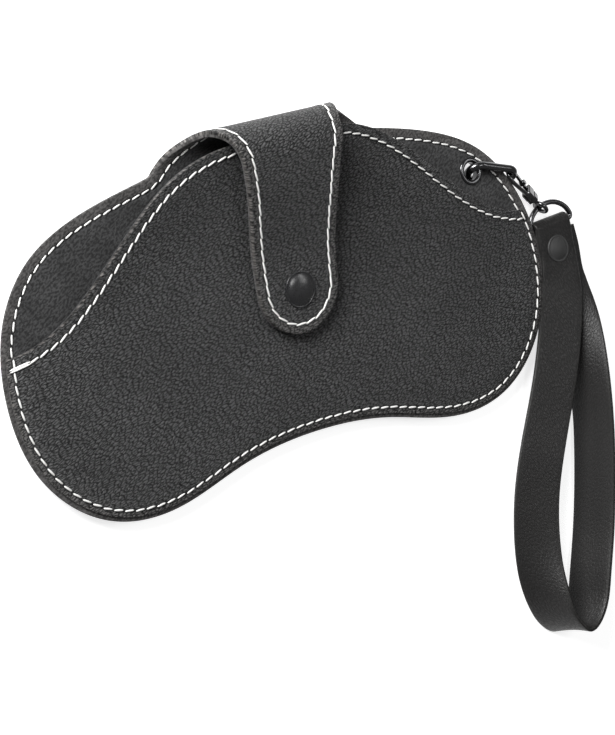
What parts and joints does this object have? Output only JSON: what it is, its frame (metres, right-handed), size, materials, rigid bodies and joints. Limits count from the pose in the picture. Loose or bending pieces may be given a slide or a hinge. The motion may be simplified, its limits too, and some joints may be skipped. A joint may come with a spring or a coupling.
{
  "type": "sunglasses case",
  "caption": "Soft leather case for sunglasses: a sewn pouch with a curved mouth, a snap tab rolled over it, and a wrist strap on a swivel snap hook through an eyelet.",
  "frame": {"origin": "middle of the flat patch on the back, where the case rests", "axes": "+X along the case towards the strap, +Y towards the tab roll, +Z out of the front"},
  "size_m": [0.2082, 0.1737, 0.0214],
  "materials": {
    "outer_leather": "satin, fine pebble grain",
    "lining_fabric": "matt microfibre",
    "strap_leather": "satin, fine grain",
    "black_metal": "gloss black plating",
    "snap_metal": "gloss black",
    "spring_steel": "bright wire",
    "rivet_metal": "matt black"
  },
  "bodies": {
    "case": {"back_outer_leather": "outer_leather", "back_lining": "lining_fabric", "front_outer_leather": "outer_leather", "front_lining": "lining_fabric", "snap_stud": "snap_metal", "snap_post": "snap_metal", "eyelet_flange": "black_metal", "eyelet_washer": "black_metal"},
    "tab_roll": {"tab_arch_leather": "outer_leather", "tab_arch_lining": "lining_fabric"},
    "tab_end": {"tab_front_leather": "outer_leather", "tab_front_lining": "lining_fabric", "snap_socket": "snap_metal", "snap_spring": "spring_steel", "snap_cap": "snap_metal"},
    "link": {"eyelet_link": "black_metal"},
    "hook": {"clasp_hook": "black_metal", "lever_pin": "black_metal", "lever_spring": "spring_steel"},
    "gate": {"gate_lever": "black_metal"},
    "swivel": {"swivel_eye": "black_metal"},
    "ring": {"d_ring": "black_metal"},
    "strap": {"wrist_strap": "strap_leather", "strap_rivet_cap": "rivet_metal", "strap_rivet_foot": "rivet_metal"}
  },
  "joints": [
    {"name": "tab_lift", "type": "hinge", "parent": "tab_roll", "child": "tab_end", "pos_m": [0, 0.0443, 0.0214], "axis": [-1, 0, 0], "range_deg": [0, 100]},
    {"name": "tab_unroll", "type": "hinge", "parent": "case", "child": "tab_roll", "pos_m": [0, 0.0443, 0.0031], "axis": [-1, 0, 0], "range_deg": [0, 45]},
    {"name": "link_swing", "type": "hinge", "parent": "case", "child": "link", "pos_m": [0.0745, 0.024, 0.004], "axis": [0, 0, 1], "range_deg": [0, 60]},
    {"name": "hook_swing", "type": "hinge", "parent": "link", "child": "hook", "pos_m": [0.08864, 0.0204, 0.00496], "axis": [-0.1377, -0.883, 0.4487], "range_deg": [0, 20]},
    {"name": "gate_press", "type": "hinge", "parent": "hook", "child": "gate", "pos_m": [0.09684, 0.0143, 0.00256], "axis": [0.4852, 0.3348, 0.8078], "range_deg": [0, 12], "stiffness_Nm_per_rad": 0.0002, "springref_deg": -5.73},
    {"name": "swivel_turn", "type": "hinge", "parent": "hook", "child": "swivel", "pos_m": [0.09894, 0.01004, 0.00307], "axis": [0.6283, -0.7759, -0.0558], "continuous": true},
    {"name": "ring_swing", "type": "hinge", "parent": "swivel", "child": "ring", "pos_m": [0.10074, 0.00805, 0.0026], "axis": [0.948, 0.3182, 0], "range_deg": [-20, 20]},
    {"name": "strap_swing", "type": "hinge", "parent": "ring", "child": "strap", "pos_m": [0.1039, 0.0019, 0.0026], "axis": [-0.9976, -0.0698, 0], "range_deg": [0, 60]}
  ],
  "couplings": [
    {"joint": "tab_unroll", "follows": "tab_lift", "ratio": 0.45}
  ]
}
